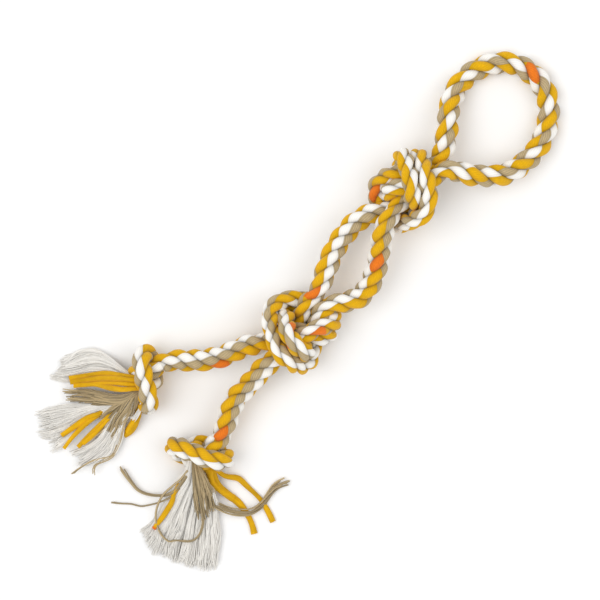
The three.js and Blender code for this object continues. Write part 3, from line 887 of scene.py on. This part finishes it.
def yarn_material(name, colour, streaks, crease_shade, spread, twist):
    """streaks and spread say how much fibres and threads differ in brightness; the weight after streaks
    paints shade where the yarn is creased.
    """
    material, tree, shader = cotton(name)
    along, around, shade = (attribute(tree, label) for label in ("along", "around", "shade"))
    across = calc("MULTIPLY_ADD", along, twist, calc("MULTIPLY", around, STREAKS_AROUND))
    fibre = fibre_streaks(tree, across, along, calc("MULTIPLY", shade, FIBRES_APART))
    darkest = THREAD_BRIGHTNESS - streaks / 2 - crease_shade / 2 - spread / 2
    light = calc("MULTIPLY_ADD", fibre["Streak"], streaks, darkest)
    # painted shade and light of creases, from the slow blotch noise
    light = calc("MULTIPLY_ADD", fibre["Blotch"], crease_shade, light)
    light = calc("MULTIPLY_ADD", shade, spread, light)
    dyed = mix(attribute(tree, "orange"), colour, ORANGE)
    dress(shader, dyed, light, fibre["Streak"], strength=0.5, depth=0.3 * MM)
    return material


YARN_LOOKS = {
    "white": yarn_material("white_yarn", WHITE, streaks=0.2, crease_shade=0, spread=0.14, twist=900),
    "yellow": yarn_material("yellow_yarn", YELLOW, streaks=0.5, crease_shade=0.7, spread=0.15, twist=0),
    "tan": yarn_material("tan_yarn", TAN, streaks=0.5, crease_shade=0, spread=0.7, twist=1800),
}
print("yarn materials:", [material.name for material in YARN_LOOKS.values()])

# %% [markdown]
# ## Tassels
# The yarns lie in bundles that spread like fans. Single threads can't be followed in the photograph, but
# edges can. So a bundle fills the space between two edges, drawn from above in the layout's millimetres.

# %% Edges of the bundles
EDGES = {
    "left_top_outer": [(-144, 76), (-146, 87), (-151, 99), (-160, 106), (-170, 109), (-180, 111)],
    "left_top_middle": [(-147, 76), (-156, 90), (-169, 98), (-188, 107)],
    "left_top_inner": [(-156, 75), (-170, 85), (-183, 93), (-197, 109)],
    "left_tan_top": [(-147, 49), (-155, 51), (-165, 58), (-173, 68), (-182, 80), (-195, 94)],
    "left_tan_bottom": [(-152, 46), (-161, 47), (-169, 52), (-176, 59), (-187, 69), (-206, 86)],
    "left_side_top": [(-158, 50), (-168, 53), (-178, 60), (-191, 71), (-208, 83), (-227, 95)],
    "left_side_middle": [(-158, 49), (-170, 52), (-180, 56), (-197, 64), (-217, 69), (-238, 80)],
    "left_side_bottom": [(-158, 48), (-172, 50), (-184, 53), (-204, 56), (-226, 55), (-240, 56)],
    "left_low_left": [(-156, 47), (-170, 47), (-180, 45), (-195, 41), (-212, 41), (-228, 46)],
    "left_low_middle": [(-152, 45), (-166, 42), (-180, 37), (-194, 33), (-209, 31), (-230, 33)],
    "left_low_right": [(-149, 43), (-157, 37), (-172, 35), (-182, 29), (-194, 23), (-202, 20), (-217, 26)],
    "left_stub": [(-147, 42), (-151, 37), (-157, 33), (-168, 31)],
    "right_first": [(-162, -32), (-175, -33), (-193, -40), (-213, -46), (-230, -45)],
    "right_second": [(-165, -40), (-183, -46), (-203, -54), (-219, -60), (-235, -67)],
    "right_third": [(-165, -47), (-182, -59), (-198, -70), (-214, -80), (-224, -86)],
    "right_fourth": [(-160, -52), (-173, -68), (-186, -81), (-202, -95), (-214, -104)],
    "right_last": [(-155, -56), (-164, -76), (-172, -86), (-184, -99), (-204, -116)],
    "right_flap_first": [(-162, -42), (-167, -48), (-172, -54), (-180, -65), (-188, -74)],
    "right_flap_last": [(-153, -50), (-155, -56), (-156, -61), (-160, -70), (-163, -78)],
}
EDGE_POINTS = 10


def between(first, second, share):
    """A line that lies between two edges."""
    t = np.linspace(0, 1, EDGE_POINTS)
    return (1 - share) * curve(EDGES[first], t) + share * curve(EDGES[second], t)


print("edges:", len(EDGES))

# %% [markdown]
# The yarns come out of the rope's cut end, arch over and fall to the floor. Heights can't be seen from
# above, and guessing each would make them clash. So a line's height follows from how far it lies from the
# middle of its tassel, with a second layer over the first.

# %% Heights in a tassel
TASSELS = {"left": np.array([-138.2, 44.9]), "right": np.array([-145.4, -25.1])}
FALL_FROM, FALL_LENGTH = 9, 45  # where the yarns begin to fall, and the length in which they do
ARCH = 15  # how high they arch
LOWER, UPPER = (6, 2), (4.5, 4)  # thickness of a layer on the floor, and how much more it has in the arch
LAYER_GAP = 0.5
ends = curve(route, [0, 1])
FACES = {"left": (ends[0], -directions[0]), "right": (ends[1], directions[-1])}
ROOT_DEPTH, ROOT_REACH, GATHERED = 3, 6, 4  # how deep in the rope yarns start, how far aside, how gathered
UPPER_ROOT, LOWER_ROOT, ROOT_HEIGHT = 3, -2, 6  # start of upper yarns, middle and spread of lower ones


def tassel_heights(distance):
    """Lowest and highest place in each layer, at a distance from the middle of the tassel."""
    fall = 1 - smooth(distance - FALL_FROM, 0, FALL_LENGTH)
    under = FLOOR_GAP + ARCH * fall
    top = under + LOWER[0] + LOWER[1] * fall
    return {"lower": (under, top), "upper": (top + LAYER_GAP, top + UPPER[0] + UPPER[1] * fall)}


def raised(side, layer, flat, rise, rooted=True):
    """Gives a line drawn from above its heights, and leads it out of the rope's end if rooted there."""
    flat = np.asarray(flat, float)
    low, high = tassel_heights(np.linalg.norm(flat - TASSELS[side], axis=1))[layer]
    points = np.column_stack([flat, low + (high - low) * rise])
    if not rooted:
        return points
    face, ahead = FACES[side]
    beside = np.cross(UP, ahead)
    aside = np.clip((points[0] - face) @ beside / GATHERED, -ROOT_REACH, ROOT_REACH)
    height = UPPER_ROOT if layer == "upper" else ROOT_HEIGHT * (rise - 0.5) + LOWER_ROOT
    root = face - ROOT_DEPTH * ahead + beside * aside + [0, 0, height]
    return np.concatenate([[root], points])


tops = tassel_heights(np.array([10, 30, 50]))["upper"][1]
print("top of the yarn 10, 30 and 50 mm from the middle:", tops.round(1), "mm")

# %% [markdown]
# Loose threads sway and keep together in clumps that part at their ends. Strewn one by one they would look
# like fur, so a clump has one line and its threads wind about it.

# %% Clumps of threads
LINE_POINTS = 18
SWAY_GROWTH = 50  # millimetres in which a line comes to its full sway
SHORTEST = 0.9  # of a clump's threads
STILL_GATHERED, LAID_FLAT = 0.6, 0.8  # a clump's width at its start, and its height, as shares


def swaying(flat, sway, length, phase):
    """Lets a line sway to both sides, more towards its end."""
    ahead = np.gradient(flat, axis=0)
    across = np.column_stack([-ahead[:, 1], ahead[:, 0]]) / np.linalg.norm(ahead, axis=1)[:, None]
    far = lengths(flat)
    amount = sway * np.sin(2 * np.pi * far / length + phase) * smooth(far, 0, SWAY_GROWTH)
    return flat + across * amount[:, None]


def clump(line, count, radius, part, twist, rng):
    """Threads that wind about a line and part towards its end."""
    threads = []
    for _ in range(count):
        t = np.linspace(0, rng.uniform(SHORTEST, 1), LINE_POINTS)
        base = curve(line, t)
        beside = unit(np.cross(UP, np.gradient(base, axis=0)))
        around = 2 * np.pi * (rng.random() + twist * t)
        away = radius * math.sqrt(rng.random()) * (STILL_GATHERED + part * t ** 2)
        aside = beside * (away * np.cos(around))[:, None]
        threads.append(base + aside + [0, 0, LAID_FLAT] * (away * np.sin(around))[:, None])
    return threads


print("a thread has", LINE_POINTS, "points")

# %% [markdown]
# The threads of a bundle move together, so they are one piece instead of hundreds. They differ a little in
# thickness and shade. The name of a bundle tells its tassel and its colour.

# %% A piece of yarn
THINNEST, THICKEST = 0.85, 1.15  # against the given thickness
OVER_FLOOR = 0.3  # millimetres that a line keeps above its own radius
WAVES, WAVE_LENGTH = 0.3, 7  # how much a folded ribbon's width changes, and over which length
LOOSE_FROM = 0.1  # share of a thread from which it frizzes


def yarn_piece(name, lines, thick, seed, sides=5, flatness=1.0, fold=0.0, frizz=1.6, curl=70, tip=0.0):
    """One piece of loose yarn, laid out in millimetres. tip is the share of a line that is dyed orange."""
    rng = np.random.default_rng(seed)
    points, values = [], {label: [] for label in ("along", "thick", "shade", "loose", "side", "orange")}
    for line in lines:
        width = thick * rng.uniform(THINNEST, THICKEST)
        line = line.copy()
        line[:, 2] = np.maximum(line[:, 2], width * flatness / 2 + OVER_FLOOR)
        far = lengths(line)
        t = np.linspace(0, 1, len(line))
        points.append((line - ORIGIN) * MM)
        values["along"].append(far * MM)
        wave = np.sin(far / WAVE_LENGTH + 6 * rng.random())
        values["thick"].append(width * MM * (1 + WAVES * fold * wave))
        values["shade"].append(np.full(len(line), rng.random()))
        values["loose"].append(smooth(t, LOOSE_FROM, 1))
        values["side"].append(unit(np.cross(UP, np.gradient(line, axis=0))))
        values["orange"].append((t > 1 - tip) * 1.0)
    colour = name.split("_")[2]
    piece = grow(
        name + "_threads", points, values, yarn_tree, Sides=sides, Flatness=flatness, Fold=float(fold),
        Frizz=frizz * MM, Curl=float(curl), Seed=float(seed), Material=YARN_LOOKS[colour])
    press_flat(piece)
    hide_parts(name)
    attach(piece, name.split("_")[0] + "_tassel")


THREAD = {"white": 0.62, "tan": 0.92}  # thickness in millimetres
print("threads are", THREAD, "mm thick")

# %% [markdown]
# ## Fans of thread
# White yarn falls apart into many fine threads, tan yarn into fewer and harder ones. Colours mixed in one
# material would give no threads to see. So a band of clumps fills each bundle, and near the knots some have
# a second band over their neighbour.

# %% Bands of clumps
BANDS = [  # bundle, its edges, lowest and highest place in its layer, clumps, and what is unlike the others
    ("left_tassel_white_top_short", "left_top_outer", "left_top_middle", 0.05, 0.9, 18),
    ("left_tassel_white_top_long", "left_top_middle", "left_top_inner", 0.05, 0.9, 20),
    ("left_tassel_tan", "left_tan_top", "left_tan_bottom", 0.75, 1.3, 14, "lower", 0.7, 1),
    ("left_tassel_tan", "left_low_left", "left_low_right", 0.85, 1.25, 15, "lower", 0.25, 0.65),
    ("left_tassel_white_side_upper", "left_side_top", "left_side_middle", 0.05, 0.8, 17),
    ("left_tassel_white_side_lower", "left_side_middle", "left_side_bottom", 0.05, 0.8, 17),
    ("left_tassel_white_low_long", "left_low_left", "left_low_middle", 0.05, 1.05, 16),
    ("left_tassel_white_low_short", "left_low_middle", "left_low_right", 0.05, 1.05, 16),
    ("left_tassel_white_low_short", "left_stub", "left_stub", 0.7, 1.2, 3),
    ("right_tassel_white_first", "right_first", "right_second", 0.05, 0.95, 18),
    ("right_tassel_white_second", "right_second", "right_third", 0.05, 0.95, 18),
    ("right_tassel_white_third", "right_third", "right_fourth", 0.05, 0.95, 17),
    ("right_tassel_white_third", "right_flap_first", "right_flap_last", 0.3, 0.8, 3, "upper", 0.7, 1),
    ("right_tassel_white_fourth", "right_fourth", "right_last", 0.05, 0.95, 16),
    ("right_tassel_tan_front", "right_flap_first", "right_flap_last", 0.5, 1.1, 13, "upper", 0.5, 1),
]
USUAL = ("lower", 0.9, 1)  # layer, shortest and longest share of the edges
IN_CLUMP = {"white": 14, "tan": 6}
SWAY, SWAY_LENGTH = (0.3, 1.5), (26, 60)  # least and most, in millimetres
BAND_SEED = 100

fans = {}
for seed, (name, first, last, lowest, highest, clumps, *unlike) in enumerate(BANDS):
    layer, shortest, longest = unlike or USUAL
    side, _, colour = name.split("_")[:3]
    rng = np.random.default_rng(BAND_SEED + seed)
    for k in range(clumps):
        flat = between(first, last, (k + rng.random()) / clumps)
        flat = swaying(flat, rng.uniform(*SWAY), rng.uniform(*SWAY_LENGTH), phase=rng.uniform(0, 6))
        flat = curve(flat, np.linspace(0, rng.uniform(shortest, longest), EDGE_POINTS))
        line = raised(side, layer, flat, rng.uniform(lowest, highest))
        threads = clump(line, IN_CLUMP[colour], radius=1.4, part=1.3, twist=rng.uniform(-1, 1), rng=rng)
        fans.setdefault(name, []).extend(threads)
print("bands:", len(BANDS), "for", len(fans), "bundles")

# %% [markdown]
# A few tan clumps over the left tassel can be followed in the photograph. A band would spread them evenly,
# so each is drawn as a line of its own. Then the fans become pieces.

# %% Fans
OVER_WHITE = [
    [(-151, 47), (-160, 49), (-169, 51), (-178, 52), (-186, 51)],
    [(-151, 47), (-161, 48), (-171, 49), (-181, 51), (-190, 51)],
    [(-151, 46), (-161, 47), (-172, 47), (-184, 46), (-200, 45)],
    [(-152, 46), (-164, 46), (-175, 46), (-188, 43), (-212, 44)],
    [(-157, 39), (-172, 35), (-184, 27), (-196, 21), (-203, 20), (-213, 23), (-219, 24), (-225, 18)],
    [(-192, 25), (-202, 21), (-214, 27), (-225, 30), (-232, 31), (-240, 32)],
]
ROOTED_FROM = -158  # lines that start nearer to the knot come out of the rope's end
OVER_RISE = 1.15  # just over the lower layer
OVER_SEED = 140

rng = np.random.default_rng(OVER_SEED)
for flat in OVER_WHITE:
    over = curve(flat, np.linspace(0, 1, EDGE_POINTS))
    line = raised("left", "lower", over, OVER_RISE, rooted=flat[0][0] > ROOTED_FROM)
    fans["left_tassel_tan"] += clump(line, 4, radius=1.1, part=0.6, twist=0.8, rng=rng)
for seed, (name, lines) in enumerate(fans.items()):
    yarn_piece(name, lines, THREAD[name.split("_")[2]], seed)
print("threads:", {name: len(lines) for name, lines in fans.items()})

# %% [markdown]
# Yellow yarn stays together in flat ribbons with straight cut ends. Threads would look too fine, so each is
# one wide, folded section along a drawn line. Some come up from under the other yarns, and one has an
# orange tip.

# %% Yellow ribbons
RIBBONS = {  # width, layer, whether they start in the rope's end, and the line of each ribbon
    "left_tassel_yellow_wide": (4.6, "upper", True, [
        [(-140, 58), (-147, 66), (-158, 78), (-172, 88), (-184, 95)],
        [(-141, 55), (-150, 65), (-161, 75), (-173, 84), (-185, 92)],
        [(-143, 52), (-153, 62), (-164, 72), (-174, 80), (-185, 88)],
        [(-145, 49), (-155, 57), (-163, 66), (-170, 75), (-180, 84)]]),
    "left_tassel_yellow_side": (4.4, "upper", False, [
        [(-174, 52), (-185, 55), (-196, 59), (-208, 61), (-222, 63)],
        [(-176, 51), (-191, 55), (-203, 56), (-217, 55), (-228, 53)]]),
    "left_tassel_yellow_front": (3.6, "upper", False, [
        [(-168, 48), (-180, 48), (-191, 48), (-205, 47), (-218, 46)],
        [(-170, 47), (-182, 46), (-193, 45), (-206, 45), (-213, 45)]]),
    "left_tassel_yellow_low": (5.4, "lower", False, [
        [(-153, 36), (-157, 33), (-162, 30), (-169, 27), (-175, 26), (-182, 27)],
        [(-154, 37), (-159, 34), (-164, 31), (-171, 29), (-178, 27)]]),
    "right_tassel_yellow_top": (4.6, "upper", False, [
        [(-162, -34), (-170, -36), (-183, -40), (-189, -44), (-202, -48), (-212, -50), (-217, -51)]]),
    "right_tassel_yellow_thick": (6.4, "lower", True, [
        [(-144, -46), (-149, -59), (-149, -71), (-147, -85), (-148, -95), (-151, -105), (-155, -113)],
        [(-147, -46), (-152, -56), (-151, -66), (-148, -78)]]),
    "right_tassel_yellow_thin": (4.6, "lower", True, [
        [(-142, -46), (-140, -58), (-133, -68), (-132, -78), (-131, -93), (-133, -105), (-136, -116)]]),
}
RIBBON = {"sides": 16, "flatness": 0.4, "fold": 0.5, "frizz": 1.6, "curl": 40}
RIBBON_RISE = (0.35, 0.55)  # place in the layer, of every other ribbon
COVERED, COMES_UP = 1.6, (0.02, 0.35)  # how deep a ribbon starts under the others, and where it comes up
ORANGE_TIP = {"right_tassel_yellow_top": 0.08}
RIBBON_SEED = 20

t = np.linspace(0, 1, 2 * LINE_POINTS)
for seed, (name, (width, layer, rooted, ribbons)) in enumerate(RIBBONS.items()):
    lines = []
    for k, flat in enumerate(ribbons):
        rise = RIBBON_RISE[k % 2]
        if layer == "upper" and not rooted:
            rise = rise - COVERED * (1 - smooth(t, *COMES_UP))
        line = raised(name.split("_")[0], layer, curve(flat, t), rise, rooted)
        lines.append(curve(line, t))
    yarn_piece(name, lines, width, RIBBON_SEED + seed, tip=ORANGE_TIP.get(name, 0), **RIBBON)
print("ribbons:", sum(len(ribbons) for *_, ribbons in RIBBONS.values()))

# %% [markdown]
# A few tan yarns stray over and beside the right fringe. No two edges enclose them, so each follows points
# of its own as a loose clump.

# %% Single yarns
SINGLES = {  # points, threads, radius of the clump
    "right_tassel_tan_left": ([
        (-164, -36, 19), (-176, -38, 15), (-184, -38, 12), (-191, -35, 8), (-200, -26, 4), (-204, -17, 3),
        (-204, -7, 3), (-203, 3, 3), (-202, 11, 3)], 5, 2.2),
    "right_tassel_tan_thin": ([
        (-176, -40, 13), (-184, -41, 11), (-198, -37, 8), (-206, -33, 3), (-212, -29, 2), (-217, -22, 2),
        (-224, -15, 2), (-229, -9, 2)], 2, 0.5),
    "right_tassel_tan_loop": ([
        (-160, -33, 20), (-173, -35, 17), (-186, -34, 12), (-198, -37, 9), (-208, -44, 8.5), (-213, -52, 8.5),
        (-215, -61, 8.5), (-214, -68, 8.5), (-209, -71, 8.5), (-201, -80, 8.5), (-194, -82, 8.7),
        (-185, -79, 9), (-178, -73, 9), (-170, -66, 9), (-163, -59, 9)], 3, 0.8),
    "right_tassel_tan_right": ([
        (-154, -46, 19), (-159, -54, 14), (-163, -63, 10), (-161, -75, 8.5), (-154, -88, 8), (-144, -97, 7.5),
        (-134, -99, 4), (-122, -97, 2.8), (-112, -96, 2.8), (-101, -100, 2.8)], 8, 5),
}
SINGLE_THICK = 1.3
CLUMP_SEED, SINGLE_SEED = 200, 50

for seed, (name, (points, count, radius)) in enumerate(SINGLES.items()):
    rng = np.random.default_rng(CLUMP_SEED + seed)
    lines = clump(np.array(points, float), count, radius, part=0.5, twist=0.6, rng=rng)
    lines = [curve(line, t) for line in lines]
    yarn_piece(name, lines, SINGLE_THICK, SINGLE_SEED + seed, sides=6, frizz=1.4, curl=50)
print("single yarns:", len(SINGLES))

# %% [markdown]
# ## Floor and light
# The toy lies on white, with soft shadows close to it. Large area lamps are the usual soft light but leave
# the far floor grey, so two wide suns light it evenly.

# %% Floor and lamps
FLOOR_REACH = 4
FLOOR_COLOUR = srgb("#f7f7f7")
LAMPS = {  # place, degrees wide, strength
    "key": ((-0.7, 0.5, 1.6), 43, 1.15),
    "fill": ((0.9, -0.6, 1.5), 48, 0.56),
}

corners = [(x * FLOOR_REACH, y * FLOOR_REACH, 0) for x, y in ((-1, -1), (1, -1), (1, 1), (-1, 1))]
floor_mesh = bpy.data.meshes.new("floor")
floor_mesh.from_pydata(corners, [], [(0, 1, 2, 3)])
floor = new_object("floor", floor_mesh)
paper, _, shader = cotton("paper")
shader.inputs["Base Color"].default_value = FLOOR_COLOUR
floor_mesh.materials.append(paper)

for name, (place, wide, strength) in LAMPS.items():
    lamp = bpy.data.lights.new(name, "SUN")
    lamp.angle = math.radians(wide)
    lamp.energy = strength
    holder = new_object(name, lamp)
    holder.location = place
    aim = -holder.location
    holder.rotation_euler = aim.to_track_quat("-Z", "Y").to_euler()
print("floor:", 2 * FLOOR_REACH, "m wide under", len(LAMPS), "lamps")

# %% [markdown]
# The rest of the light comes from all around. A picture of a studio adds nothing on dull cotton, and full
# strength would wash out the shadows. So plain white lights the toy at a lower strength and is white where
# it is seen.

# %% World
WORLD_LIGHT = 0.7
world = bpy.data.worlds.new("studio")
bpy.context.scene.world = world
world.use_nodes = True
tree = world.node_tree
background = tree.nodes["Background"]
background.inputs["Color"].default_value = (1, 1, 1, 1)
rays = tree.nodes.new("ShaderNodeLightPath").outputs
seen = calc("MAXIMUM", rays["Is Camera Ray"], rays["Is Glossy Ray"])
seen = calc("MAXIMUM", seen, rays["Is Transmission Ray"])
strength = calc("MULTIPLY_ADD", seen, 1 - WORLD_LIGHT, WORLD_LIGHT)
tree.links.new(strength, background.inputs["Strength"])
bpy.context.scene.view_settings.view_transform = "Standard"
print("world: strength", WORLD_LIGHT, "and 1 where it is seen")
